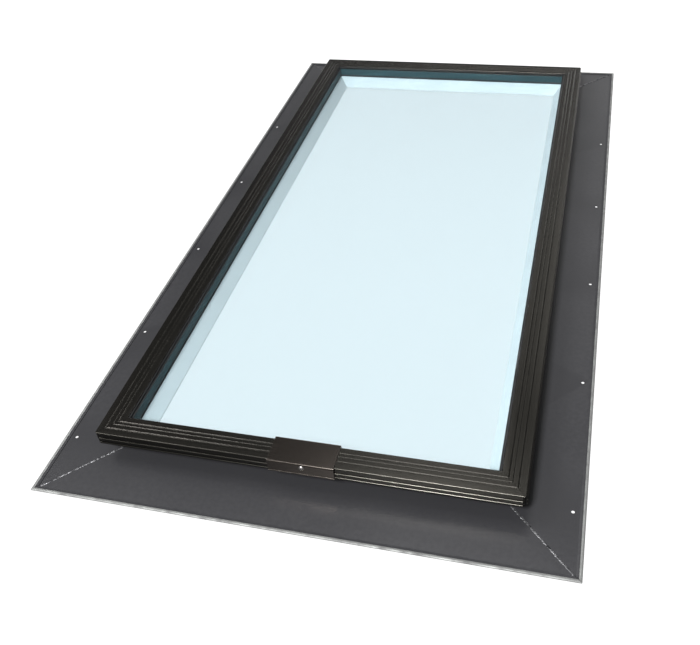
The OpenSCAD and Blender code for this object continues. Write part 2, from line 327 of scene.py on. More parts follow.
def new_object(name: str, mesh: bpy.types.Mesh, *materials: bpy.types.Material) -> bpy.types.Object:
    """Links a mesh as an object at the origin.

    Args:
        name: Name of the object.
        mesh: Its mesh.
        materials: Its materials in the order of their slots, unless the mesh has its own.

    Returns:
        The object.
    """
    piece = bpy.data.objects.new(name, mesh)
    bpy.context.scene.collection.objects.link(piece)
    if not mesh.materials:
        for material in materials:
            mesh.materials.append(material)
    return piece


def settle(piece: bpy.types.Object) -> bpy.types.Object:
    """Turns a piece's modifiers into plain mesh.

    Args:
        piece: The object with live modifiers.

    Returns:
        The same object, with none left.
    """
    bpy.context.view_layer.update()
    graph = bpy.context.evaluated_depsgraph_get()
    mesh = bpy.data.meshes.new_from_object(piece.evaluated_get(graph), depsgraph=graph)
    piece.modifiers.clear()
    old, piece.data = piece.data, mesh
    mesh.name = piece.name
    bpy.data.meshes.remove(old)
    return piece


def shade(piece: bpy.types.Object, angle: float = 40.0) -> bpy.types.Object:
    """Shades a piece smooth, with the flats kept flat.

    Args:
        piece: The object to shade.
        angle: The sharpest angle between faces, in degrees, that is still shaded smooth.

    Returns:
        The same object.
    """
    piece.data.shade_smooth()
    piece.data.set_sharp_from_angle(angle=math.radians(angle))
    flats = piece.modifiers.new("flats", "WEIGHTED_NORMAL")
    flats.keep_sharp = True
    return settle(piece)


def to_mesh(bm: bmesh.types.BMesh, name: str, outwards: bool = True) -> bpy.types.Mesh:
    """Turns a mesh under construction into a finished one.

    Args:
        bm: The mesh under construction, which is used up.
        name: Name of the finished mesh.
        outwards: Whether it is closed, so that its faces can be turned outwards.

    Returns:
        The finished mesh.
    """
    if outwards:
        bmesh.ops.recalc_face_normals(bm, faces=bm.faces)
    mesh = bpy.data.meshes.new(name)
    bm.to_mesh(mesh)
    bm.free()
    return mesh


def cut(piece: bpy.types.Object, tool: bpy.types.Mesh) -> bpy.types.Object:
    """Cuts a closed tool out of a piece.

    Args:
        piece: The object to cut.
        tool: The tool's mesh, which is used up.

    Returns:
        The same object.
    """
    cutter = new_object("cutter", tool)
    boolean = piece.modifiers.new("cut", "BOOLEAN")
    boolean.operation = "DIFFERENCE"
    boolean.solver = "MANIFOLD"
    boolean.object = cutter
    settle(piece)
    bpy.data.objects.remove(cutter)
    bpy.data.meshes.remove(tool)
    return piece


def sweep(name: str, loops: Sequence[Outline], ends: Sequence[tuple[float, float]], place: Matrix,
          stations: int = 2, end_slot: int = 0) -> bpy.types.Mesh:
    """A straight bar of one section, its ends cut at any slope in v.

    Args:
        name: Name of the mesh.
        loops: The section's outer outline, then any hollows in it.
        ends: For each end, x at v = 0 and how much x grows with each unit of v.
        place: The matrix to the row frame.
        stations: Number of cross-sections along the bar.
        end_slot: Material slot of the end faces.

    Returns:
        A closed mesh with its faces outwards, a UV map in metres and the section's edge values.
    """
    def x_at(v: float, share: float) -> float:
        """Gives x at v, a share of the way along the bar."""
        x0, x1 = (at + slope * v for at, slope in ends)
        return x0 + (x1 - x0) * share

    bm = bmesh.new()
    uv = bm.loops.layers.uv.new(UV_NAME)
    edge_layer = bm.verts.layers.float.new(EDGE_NAME)
    shares = [s / (stations - 1) for s in range(stations)]
    rings: list[list[list[bmesh.types.BMVert]]] = []
    for loop in loops:
        rings.append([])
        for share in shares:
            ring = []
            for (v, z), edge in zip(loop.points, loop.edge):
                vert = bm.verts.new(place @ Vector((x_at(v, share), v, z)))
                vert[edge_layer] = edge
                ring.append(vert)
            rings[-1].append(ring)
    for loop, ring_set in zip(loops, rings):
        count = len(loop.points)
        lengths = [0.0]
        for i in range(count):
            lengths.append(lengths[-1] + math.dist(loop.points[i], loop.points[(i + 1) % count]))
        for s in range(stations - 1):
            for i in range(count):
                j = (i + 1) % count
                corners = ((s, i, i), (s, j, i + 1), (s + 1, j, i + 1), (s + 1, i, i))
                face = bm.faces.new([ring_set[k][n] for k, n, _ in corners])
                for corner, (k, n, m) in zip(face.loops, corners):
                    corner[uv].uv = (x_at(loop.points[n][0], shares[k]) * MM, lengths[m] * MM)
    section = [point for loop in loops for point in loop.points]
    flat = [[Vector((v, z, 0.0)) for v, z in loop.points] for loop in loops]
    for s in (0, stations - 1):
        verts = [vert for ring_set in rings for vert in ring_set[s]]
        for triangle in tessellate_polygon(flat):
            face = bm.faces.new([verts[n] for n in triangle])
            face.material_index = end_slot
            for corner, n in zip(face.loops, triangle):
                v, z = section[n]
                corner[uv].uv = (v * MM, z * MM)
    bmesh.ops.remove_doubles(bm, verts=bm.verts, dist=MERGE_DISTANCE)
    return to_mesh(bm, name)


def mitred_bar(name: str, layout: Layout, side: Side, loops: Sequence[Outline], gap: float = 0.0,
               stations: int = 2) -> bpy.types.Mesh:
    """A bar along one side, both its ends cut to the corner mitres.

    Args:
        name: Name of the mesh.
        layout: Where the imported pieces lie.
        side: The side it lies along.
        loops: The section's outer outline, then any hollows in it.
        gap: The mitre's width, half of which is taken off each bar.
        stations: Number of cross-sections along the bar.

    Returns:
        A closed mesh, as from sweep.
    """
    reach = layout.along(side) - gap / math.sqrt(2)
    return sweep(name, loops, ((-reach, 1.0), (reach, -1.0)), layout.place(side), stations)


def prism(name: str, outline: Sequence[Point], low: float, high: float, place: Matrix) -> bpy.types.Mesh:
    """An upright prism over a plan outline.

    Args:
        name: Name of the mesh.
        outline: The plan's points.
        low: Height of the bottom.
        high: Height of the top.
        place: The matrix to the row frame.

    Returns:
        A closed mesh with its faces outwards.
    """
    bm = bmesh.new()
    rings = [[bm.verts.new(place @ Vector((x, y, z))) for x, y in outline] for z in (low, high)]
    bm.faces.new(rings[0])
    bm.faces.new(rings[1])
    for i in range(len(outline)):
        j = (i + 1) % len(outline)
        bm.faces.new((rings[0][i], rings[0][j], rings[1][j], rings[1][i]))
    return to_mesh(bm, name)


def lathe(bm: bmesh.types.BMesh, profile: Sequence[Point], sides: int) -> None:
    """Adds a turned shape about Z, closed by a flat face at both ends.

    Args:
        bm: The mesh under construction.
        profile: The radius and height of each point, from one end to the other.
        sides: Number of facets round the axis.
    """
    rings = []
    for r, z in profile:
        ring = []
        for i in range(sides):
            a = math.tau * i / sides
            ring.append(bm.verts.new((r * math.cos(a), r * math.sin(a), z)))
        rings.append(ring)
    for low, high in zip(rings, rings[1:]):
        for i in range(sides):
            j = (i + 1) % sides
            bm.faces.new((low[i], low[j], high[j], high[i]))
    bm.faces.new(rings[0][::-1])
    bm.faces.new(rings[-1])


def finish_piece(piece: bpy.types.Object, slot: str, *nodes: str) -> None:
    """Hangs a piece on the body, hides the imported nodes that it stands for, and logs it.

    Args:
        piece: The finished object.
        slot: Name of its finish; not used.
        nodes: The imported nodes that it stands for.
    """
    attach(piece, BODY)
    if nodes:
        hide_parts(*nodes)
    LOG.info("%s: %d faces, for %s", piece.name, len(piece.data.polygons), ", ".join(nodes) or "nothing")


def build_bars(kind: str, layout: Layout, loops: Sequence[Outline], gap: float,
               material: bpy.types.Material) -> None:
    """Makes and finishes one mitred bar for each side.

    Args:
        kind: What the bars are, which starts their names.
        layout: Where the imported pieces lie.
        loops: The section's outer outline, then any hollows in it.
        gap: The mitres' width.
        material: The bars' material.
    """
    for side in Side:
        name = f"{kind}_{side.label}"
        bar = new_object(name, mitred_bar(name, layout, side, loops, gap), material)
        finish_piece(shade(bar), kind, name)


# ---- Node trees ----


class NodeGraph:
    """Adds and links the nodes of one tree."""

    def __init__(self, tree: bpy.types.NodeTree) -> None:
        """Takes the tree over."""
        self.tree = tree

    def feed(self, node: bpy.types.Node, inputs: dict) -> None:
        """Sets a node's inputs.

        Args:
            node: The node.
            inputs: A value, or a socket to link, for each input, by the input's name or number.
        """
        for key, value in inputs.items():
            if isinstance(value, bpy.types.NodeSocket):
                self.tree.links.new(value, node.inputs[key])
            else:
                node.inputs[key].default_value = value

    def add(self, kind: str, inputs: dict | None = None, **settings: object) -> bpy.types.Node:
        """Adds a node.

        Args:
            kind: The node's type.
            inputs: Its inputs, as feed takes them.
            settings: Its properties.

        Returns:
            The node.
        """
        node = self.tree.nodes.new(kind)
        for key, value in settings.items():
            setattr(node, key, value)
        self.feed(node, inputs or {})
        return node

    def math(self, operation: str, *values: object, clamp: bool = False) -> bpy.types.NodeSocket:
        """Adds a Math node.

        Args:
            operation: What it does.
            values: The values or sockets that it works on.
            clamp: Whether the result is held between 0 and 1.

        Returns:
            Its result.
        """
        node = self.add("ShaderNodeMath", dict(enumerate(values)), operation=operation, use_clamp=clamp)
        return node.outputs[0]


# ---- Geometry Nodes ----


class Recipe(NodeGraph):
    """A Geometry Nodes tree under construction."""

    def __init__(self, name: str) -> None:
        """Starts an empty tree.

        Args:
            name: Name of the tree.
        """
        super().__init__(bpy.data.node_groups.new(name, "GeometryNodeTree"))
        self.tree.interface.new_socket("Geometry", in_out="OUTPUT", socket_type="NodeSocketGeometry")
        self.tree.interface.new_socket("Geometry", in_out="INPUT", socket_type="NodeSocketGeometry")
        self.entry = self.tree.nodes.new("NodeGroupInput")
        self.exit = self.tree.nodes.new("NodeGroupOutput")

    def size(self, name: str, kind: str = "Float") -> bpy.types.NodeSocket:
        """Adds a named input to the tree, and returns its socket inside."""
        self.tree.interface.new_socket(name, in_out="INPUT", socket_type="NodeSocket" + kind)
        return self.entry.outputs[name]

    def close(self, geometry: bpy.types.NodeSocket) -> None:
        """Ends the tree in Realize Instances and Set Material.

        Args:
            geometry: What the tree has made.
        """
        material = self.size("Material", "Material")
        whole = self.add("GeometryNodeRealizeInstances", {"Geometry": geometry})
        dressed = self.add("GeometryNodeSetMaterial", {"Geometry": whole.outputs[0], "Material": material})
        self.tree.links.new(dressed.outputs[0], self.exit.inputs[0])

    def make(self, name: str, base: bpy.types.Mesh, values: dict[str, object]) -> bpy.types.Object:
        """Runs the tree on a mesh.

        Args:
            name: Name of the piece.
            base: The mesh that goes in.
            values: The tree's inputs, by name.

        Returns:
            The result as a plain mesh object.
        """
        piece = new_object(name, base)
        modifier = piece.modifiers.new("recipe", "NODES")
        modifier.node_group = self.tree
        for item in self.tree.interface.items_tree:
            if item.item_type == "SOCKET" and item.in_out == "INPUT" and item.name in values:
                modifier[item.identifier] = values[item.name]
        return settle(piece)


def hole_row() -> Recipe:
    """A recipe that drills a row of round holes through a sheet.

    Returns:
        The recipe, ready to make pieces.
    """
    recipe = Recipe("hole_row")
    first = recipe.size("First hole", "Vector")
    pitch = recipe.size("Pitch", "Vector")
    count = recipe.size("Count", "Int")
    radius = recipe.size("Radius")
    depth = recipe.size("Depth")
    row = recipe.add("GeometryNodeMeshLine", {"Count": count, "Start Location": first, "Offset": pitch},
                     mode="OFFSET")
    drill = recipe.add("GeometryNodeMeshCylinder", {"Vertices": 40, "Radius": radius, "Depth": depth})
    drills = recipe.add("GeometryNodeInstanceOnPoints",
                        {"Points": row.outputs["Mesh"], "Instance": drill.outputs["Mesh"]})
    tools = recipe.add("GeometryNodeRealizeInstances", {"Geometry": drills.outputs[0]})
    sheet = recipe.entry.outputs["Geometry"]
    drilled = recipe.add("GeometryNodeMeshBoolean", {0: sheet, 1: tools.outputs[0]}, operation="DIFFERENCE")
    recipe.close(drilled.outputs["Mesh"])
    return recipe


def weld_run() -> Recipe:
    """A recipe for a rippled weld bead along a line, its underside flat on the sheet.

    The bead's girth adds up three shares: the steps of its ripples, slow lumps, and the least it has.

    Returns:
        The recipe, ready to make pieces.
    """
    ripple_share, lump_share, least_share = 0.24, 1.3, 0.1
    stations, end_taper, unevenness = 360, 70.0, 0.0009
    recipe = Recipe("weld_run")
    start = recipe.size("Start", "Vector")
    end = recipe.size("End", "Vector")
    half = recipe.size("Half width")
    rise = recipe.size("Rise")
    ripple = recipe.size("Ripple pitch")
    floor = recipe.size("Sheet height")
    seed = recipe.size("Seed")
    line = recipe.add("GeometryNodeCurvePrimitiveLine", {"Start": start, "End": end})
    fine = recipe.add("GeometryNodeResampleCurve", {"Curve": line.outputs[0], "Count": stations})
    upright = recipe.add("GeometryNodeSetCurveNormal", {"Curve": fine.outputs[0]}, mode="Z_UP")
    where = recipe.add("GeometryNodeSplineParameter").outputs
    step = recipe.math("FRACT", recipe.math("DIVIDE", where["Length"], ripple))
    step = recipe.math("MULTIPLY", recipe.math("POWER", step, 0.6), ripple_share)
    lump = recipe.add("ShaderNodeTexNoise", {"W": where["Length"], "Scale": 260.0, "Detail": 2.0},
                      noise_dimensions="1D")
    lump = recipe.math("MULTIPLY", lump.outputs[0], lump_share)
    ends = recipe.math("MULTIPLY", where["Factor"], recipe.math("SUBTRACT", 1.0, where["Factor"]))
    ends = recipe.math("MINIMUM", recipe.math("POWER", recipe.math("MULTIPLY", ends, end_taper), 0.5), 1.0)
    girth = recipe.math("ADD", recipe.math("ADD", step, lump), least_share)
    girth = recipe.math("MULTIPLY", girth, ends)
    ring = recipe.add("GeometryNodeCurvePrimitiveCircle", {"Resolution": 22, "Radius": half})
    tube = recipe.add("GeometryNodeCurveToMesh", {
        "Curve": upright.outputs[0], "Profile Curve": ring.outputs[0], "Scale": girth, "Fill Caps": True})
    place = recipe.add("GeometryNodeInputPosition").outputs[0]
    jitter = recipe.add("ShaderNodeTexNoise", {"Vector": place, "W": seed, "Scale": 420.0, "Detail": 3.0},
                        noise_dimensions="4D")
    jitter = recipe.math("MULTIPLY", recipe.math("SUBTRACT", jitter.outputs[0], 0.5), unevenness)
    parts = recipe.add("ShaderNodeSeparateXYZ", {0: place}).outputs
    height = recipe.math("DIVIDE", recipe.math("MULTIPLY", parts["Z"], rise), half)
    height = recipe.math("MAXIMUM", recipe.math("ADD", height, jitter), 0.0)
    height = recipe.math("ADD", height, floor)
    spot = recipe.add("ShaderNodeCombineXYZ", {"X": recipe.math("ADD", parts["X"], jitter),
                                               "Y": recipe.math("ADD", parts["Y"], jitter), "Z": height})
    bead = recipe.add("GeometryNodeSetPosition", {"Geometry": tube.outputs[0], "Position": spot.outputs[0]})
    recipe.close(bead.outputs[0])
    return recipe


def fastener_set() -> Recipe:
    """A recipe that puts one fastener on every vertex, turned by the vertex's own turn value.

    Returns:
        The recipe, ready to make pieces.
    """
    recipe = Recipe("fastener_set")
    fastener = recipe.size("Fastener", "Object")
    source = recipe.add("GeometryNodeObjectInfo", {"Object": fastener})
    turn = recipe.add("GeometryNodeInputNamedAttribute", {"Name": TURN_NAME}, data_type="FLOAT_VECTOR")
    spots = recipe.add("GeometryNodeMeshToPoints", {"Mesh": recipe.entry.outputs["Geometry"]})
    placed = recipe.add("GeometryNodeInstanceOnPoints", {
        "Points": spots.outputs[0], "Instance": source.outputs["Geometry"],
        "Rotation": turn.outputs["Attribute"]})
    recipe.close(placed.outputs[0])
    return recipe


# ---- Finishes ----

DUST_COVER, DUST_LIGHT = 0.25, 0.11  # how much of a coat's colour dust hides, and how light dust is
DUST_ROUGHENS, DULL_ROUGHENS, SKIN_ROUGHENS = 0.25, 0.25, 0.15
PEEL_ROUGHENS, LINE_ROUGHENS = 0.12, 0.6
LINE_STRENGTH, LINE_HEIGHT = 0.35, 0.0002


class ShaderGraph(NodeGraph):
    """The nodes of one material, shader group or world."""

    def place(self) -> bpy.types.NodeSocket:
        """Where each point of the piece lies, in the row frame."""
        return self.add("ShaderNodeTexCoord").outputs["Object"]

    def noise(self, place: bpy.types.NodeSocket, scale: object, detail: float = 3.0) -> bpy.types.NodeSocket:
        """Adds a noise over a place.

        Args:
            place: The place.
            scale: Its scale, as a value or a socket.
            detail: How many finer layers it has.

        Returns:
            Its value.
        """
        node = self.add("ShaderNodeTexNoise", {"Vector": place, "Scale": scale, "Detail": detail})
        return node.outputs[0]

    def ramp(self, value: bpy.types.NodeSocket, low: float, high: float, to_low: float = 0.0,
             to_high: float = 1.0) -> bpy.types.NodeSocket:
        """Maps a stretch of values onto another, held at both ends.

        Args:
            value: The value to map.
            low: Where the stretch starts.
            high: Where it ends.
            to_low: What its start becomes.
            to_high: What its end becomes.

        Returns:
            The mapped value.
        """
        node = self.add("ShaderNodeMapRange", {"Value": value, "From Min": low, "From Max": high,
                                               "To Min": to_low, "To Max": to_high})
        return node.outputs[0]

    def blend(self, share: object, low: object, high: object) -> bpy.types.NodeSocket:
        """Mixes two colours.

        Args:
            share: How much of the second colour, as a value or a socket.
            low: The first colour, as three numbers or a socket.
            high: The second colour.

        Returns:
            The mixed colour.
        """
        low, high = (c if isinstance(c, bpy.types.NodeSocket) else (*c, 1.0) for c in (low, high))
        return self.add("ShaderNodeMix", {0: share, 6: low, 7: high}, data_type="RGBA").outputs[2]

    def stretched(self, place: bpy.types.NodeSocket, scale: Colour) -> bpy.types.NodeSocket:
        """Stretches a place by a scale for each axis."""
        return self.add("ShaderNodeMapping", {"Vector": place, "Scale": scale}).outputs[0]


GroupParts = tuple[ShaderGraph, bpy.types.NodeOutputs, bpy.types.Node]
MaterialParts = tuple[bpy.types.Material, ShaderGraph, bpy.types.Node]


def shader_group(name: str, inputs: dict[str, float], outputs: dict[str, str]) -> GroupParts:
    """Starts a shader group with named inputs and outputs.

    Args:
        name: Name of the group.
        inputs: Float inputs and their defaults.
        outputs: Output names and their kinds.

    Returns:
        The graph to build in, its inputs' sockets, and the node that takes its outputs.
    """
    tree = bpy.data.node_groups.new(name, "ShaderNodeTree")
    for key, value in inputs.items():
        socket = tree.interface.new_socket(key, in_out="INPUT", socket_type="NodeSocketFloat")
        socket.default_value = value
    for key, kind in outputs.items():
        tree.interface.new_socket(key, in_out="OUTPUT", socket_type="NodeSocket" + kind)
    entry = tree.nodes.new("NodeGroupInput")
    leave = tree.nodes.new("NodeGroupOutput")
    return ShaderGraph(tree), entry.outputs, leave


def coat_grain_group() -> bpy.types.NodeTree:
    """Fine grain of a sprayed coat, with slow waves of the sheet under it.

    Returns:
        A group that puts out a normal and a mask.
    """
    wave_scale, wave_height, peel_height = 5.5, 0.02, 0.0003
    graph, given, leave = shader_group("coat_grain", {"Scale": 900.0, "Depth": 0.1, "Wave depth": 0.1},
                                       {"Normal": "Vector", "Mask": "Float"})
    place = graph.place()
    peel = graph.noise(place, given["Scale"], 2.0)
    wave = graph.noise(place, wave_scale, 1.0)
    slow = graph.add("ShaderNodeBump", {
        "Strength": given["Wave depth"], "Distance": wave_height, "Height": wave})
    fine = graph.add("ShaderNodeBump", {
        "Strength": given["Depth"], "Distance": peel_height, "Height": peel, "Normal": slow.outputs[0]})
    graph.feed(leave, {"Normal": fine.outputs[0], "Mask": peel})
    return graph.tree


def handling_group() -> bpy.types.NodeTree:
    """Dust, wipe marks and the odd scuff.

    Returns:
        A group that puts out a mask of the dust and one of the scuffs.
    """
    cloud_scale, speck_scale, patch_scale = 7.0, 700.0, 18.0
    scuff_stretch = (40.0, 900.0, 300.0)
    graph, given, leave = shader_group("handling", {"Dust": 0.3, "Scuffs": 0.3},
                                       {"Dust": "Float", "Scuff": "Float"})
    place = graph.place()
    cloud = graph.ramp(graph.noise(place, cloud_scale, 5.0), 0.42, 0.72)
    speck = graph.ramp(graph.noise(place, speck_scale, 2.0), 0.62, 0.72)
    dust = graph.math("ADD", graph.math("MULTIPLY", cloud, 0.6), graph.math("MULTIPLY", speck, 0.5))
    dust = graph.math("MULTIPLY", dust, given["Dust"], clamp=True)
    line = graph.noise(graph.stretched(place, scuff_stretch), 1.0, 2.0)
    patch = graph.ramp(graph.noise(place, patch_scale, 2.0), 0.58, 0.7)
    scuff = graph.math("MULTIPLY", graph.ramp(line, 0.66, 0.72), patch)
    scuff = graph.math("MULTIPLY", scuff, given["Scuffs"], clamp=True)
    graph.feed(leave, {"Dust": dust, "Scuff": scuff})
    return graph.tree


def edge_wear_group() -> bpy.types.NodeTree:
    """Rubbed coat along exposed edges, from the section's edge values; at groove shoulders the rubbed colour
    is a painted highlight.

    Returns:
        A group that puts out a mask.
    """
    break_scale = 160.0
    graph, given, leave = shader_group("edge_wear", {"Amount": 0.4}, {"Mask": "Float"})
    exposed = graph.add("ShaderNodeAttribute", attribute_name=EDGE_NAME).outputs["Fac"]
    place = graph.place()
    broken = graph.ramp(graph.noise(place, break_scale, 4.0), 0.35, 0.65, 0.35, 1.0)
    mask = graph.math("MULTIPLY", graph.math("MULTIPLY", exposed, broken), given["Amount"], clamp=True)
    graph.feed(leave, {"Mask": mask})
    return graph.tree


def die_line_group() -> bpy.types.NodeTree:
    """Faint lines that run along an extrusion, from its UV map.

    Returns:
        A group that puts out a mask, below zero where a line is dark.
    """
    broad_stretch, fine_stretch = (2.0, 1400.0, 1.0), (6.0, 5200.0, 1.0)
    graph, given, leave = shader_group("die_lines", {"Amount": 0.5}, {"Mask": "Float"})
    place = graph.add("ShaderNodeUVMap", uv_map=UV_NAME).outputs[0]
    broad = graph.noise(graph.stretched(place, broad_stretch), 1.0, 2.0)
    fine = graph.noise(graph.stretched(place, fine_stretch), 1.0, 1.0)
    line = graph.math("ADD", graph.math("MULTIPLY", broad, 0.6), graph.math("MULTIPLY", fine, 0.4))
    line = graph.math("MULTIPLY", graph.math("SUBTRACT", line, 0.5), given["Amount"])
    graph.feed(leave, {"Mask": line})
    return graph.tree


class Effects:
    """The shader groups that several finishes share, each built once."""

    def __init__(self) -> None:
        """Builds the groups."""
        self.grain = coat_grain_group()
        self.handling = handling_group()
        # edge wear, which also paints the highlights on groove shoulders
        self.wear = edge_wear_group()
        self.lines = die_line_group()

    def use(self, graph: ShaderGraph, group: bpy.types.NodeTree, **values: float) -> bpy.types.NodeOutputs:
        """Places a group in a material.

        Args:
            graph: The material's graph.
            group: The group.
            values: Its values by input, with _ for a space.

        Returns:
            The group's outputs.
        """
        node = graph.add("ShaderNodeGroup", node_tree=group)
        for key, value in values.items():
            node.inputs[key.replace("_", " ")].default_value = value
        return node.outputs


def new_material(name: str) -> MaterialParts:
    """Starts a material.

    Args:
        name: Name of the material.

    Returns:
        The material, its graph and its Principled shader.
    """
    material = bpy.data.materials.new(name)
    material.use_nodes = True
    shader = next(n for n in material.node_tree.nodes if n.type == "BSDF_PRINCIPLED")
    return material, ShaderGraph(material.node_tree), shader


@dataclass(frozen=True)
class CoatedMetal:
    """A sprayed or anodised coat on aluminium."""

    name: str
    colour: Colour
    # lighter colour of rubbed coat and scuffs, also used for painted highlights on groove shoulders
    worn: Colour
    roughness: float
    grain: float = 0.12
    wave: float = 0.1
    dust: float = 0.3
    scuffs: float = 0.3
    # amount of edge wear, which also paints the highlights on groove shoulders
    wear: float = 0.5
    lines: float = 0.0
    metallic: float = 0.0
    specular: float = 0.5

    def material(self, effects: Effects) -> bpy.types.Material:
        """Builds the finish.

        Args:
            effects: The shared shader groups.

        Returns:
            The material.
        """
        material, graph, shader = new_material(self.name)
        grain = effects.use(graph, effects.grain, Depth=self.grain, Wave_depth=self.wave)
        marks = effects.use(graph, effects.handling, Dust=self.dust, Scuffs=self.scuffs)
        rubbed_and_lit = effects.use(graph, effects.wear, Amount=self.wear)
        dusty = tuple(c * (1 - DUST_COVER) + DUST_LIGHT for c in self.colour)
        colour = graph.blend(marks["Dust"], self.colour, dusty)
        # rubbed edges and scuffs, and the painted highlights on groove shoulders, take the lighter colour
        colour = graph.blend(graph.math("MAXIMUM", rubbed_and_lit["Mask"], marks["Scuff"]), colour, self.worn)
        normal = grain["Normal"]
        rough = graph.math("ADD", graph.math("MULTIPLY", marks["Dust"], DUST_ROUGHENS), self.roughness)
        peel = graph.math("MULTIPLY", graph.math("SUBTRACT", grain["Mask"], 0.5), PEEL_ROUGHENS)
        rough = graph.math("ADD", rough, peel)
        if self.lines:
            line = effects.use(graph, effects.lines, Amount=self.lines)["Mask"]
            rough = graph.math("ADD", rough, graph.math("MULTIPLY", line, LINE_ROUGHENS))
            normal = graph.add("ShaderNodeBump", {
                "Strength": LINE_STRENGTH, "Distance": LINE_HEIGHT, "Height": line,
                "Normal": normal}).outputs[0]
        graph.feed(shader, {"Base Color": colour, "Roughness": rough, "Normal": normal,
                            "Metallic": self.metallic, "Specular IOR Level": self.specular})
        return material


@dataclass(frozen=True)
class BareMetal:
    """Uncoated metal, dulled in patches."""

    name: str
    colour: Colour
    dull: Colour
    roughness: float
    scale: float = 300.0
    dulling: tuple[float, float] = (0.35, 0.7)

    def material(self, effects: Effects) -> bpy.types.Material:
        """Builds the finish.

        Args:
            effects: The shared shader groups.

        Returns:
            The material.
        """
        material, graph, shader = new_material(self.name)
        place = graph.place()
        patch = graph.ramp(graph.noise(place, self.scale, 4.0), *self.dulling)
        grain = effects.use(graph, effects.grain, Depth=0.25, Scale=1800.0)
        colour = graph.blend(patch, self.colour, self.dull)
        rough = graph.math("ADD", graph.math("MULTIPLY", patch, DULL_ROUGHENS), self.roughness)
        graph.feed(shader, {"Base Color": colour, "Roughness": rough, "Normal": grain["Normal"],
                            "Metallic": 1.0})
        return material


@dataclass(frozen=True)
class Moulded:
    """Plastic, rubber or sealant, with a faint skin texture and slow colour drift."""

    name: str
    colour: Colour
    pale: Colour
    roughness: float
    grain: float = 0.2
    scale: float = 600.0

    def material(self, effects: Effects) -> bpy.types.Material:
        """Builds the finish.

        Args:
            effects: The shared shader groups.

        Returns:
            The material.
        """
        material, graph, shader = new_material(self.name)
        place = graph.place()
        drift = graph.ramp(graph.noise(place, 14.0, 5.0), 0.35, 0.7)
        skin = effects.use(graph, effects.grain, Depth=self.grain, Scale=self.scale, Wave_depth=0.0)
        colour = graph.blend(drift, self.colour, self.pale)
        rough = graph.math("ADD", graph.math("MULTIPLY", skin["Mask"], SKIN_ROUGHENS), self.roughness)
        graph.feed(shader, {"Base Color": colour, "Roughness": rough, "Normal": skin["Normal"]})
        return material


@dataclass(frozen=True)
class Glass:
    """Clear glass with a faint cast, which lets light through to what is under it."""

    name: str
    cast: Colour
    shadow: Colour
    roughness: float = 0.0

    def material(self, effects: Effects) -> bpy.types.Material:
        """Builds the finish.

        Args:
            effects: The shared shader groups.

        Returns:
            The material.
        """
        material, graph, shader = new_material(self.name)
        graph.feed(shader, {"Base Color": (*self.cast, 1.0), "Transmission Weight": 1.0, "Metallic": 0.0,
                            "IOR": 1.5, "Specular IOR Level": 0.3, "Roughness": self.roughness})
        film = effects.use(graph, effects.handling, Dust=0.02, Scuffs=0.0)
        graph.feed(shader, {"Roughness": graph.math("MULTIPLY", film["Dust"], 0.5)})
        clear = graph.add("ShaderNodeBsdfTransparent", {"Color": (*self.shadow, 1.0)})
        ray = graph.add("ShaderNodeLightPath")
        passing = graph.math("MAXIMUM", ray.outputs["Is Shadow Ray"], ray.outputs["Is Diffuse Ray"])
        mixed = graph.add("ShaderNodeMixShader", {0: passing, 1: shader.outputs[0], 2: clear.outputs[0]})
        leave = next(n for n in graph.tree.nodes if n.type == "OUTPUT_MATERIAL")
        graph.feed(leave, {"Surface": mixed.outputs[0]})
        return material


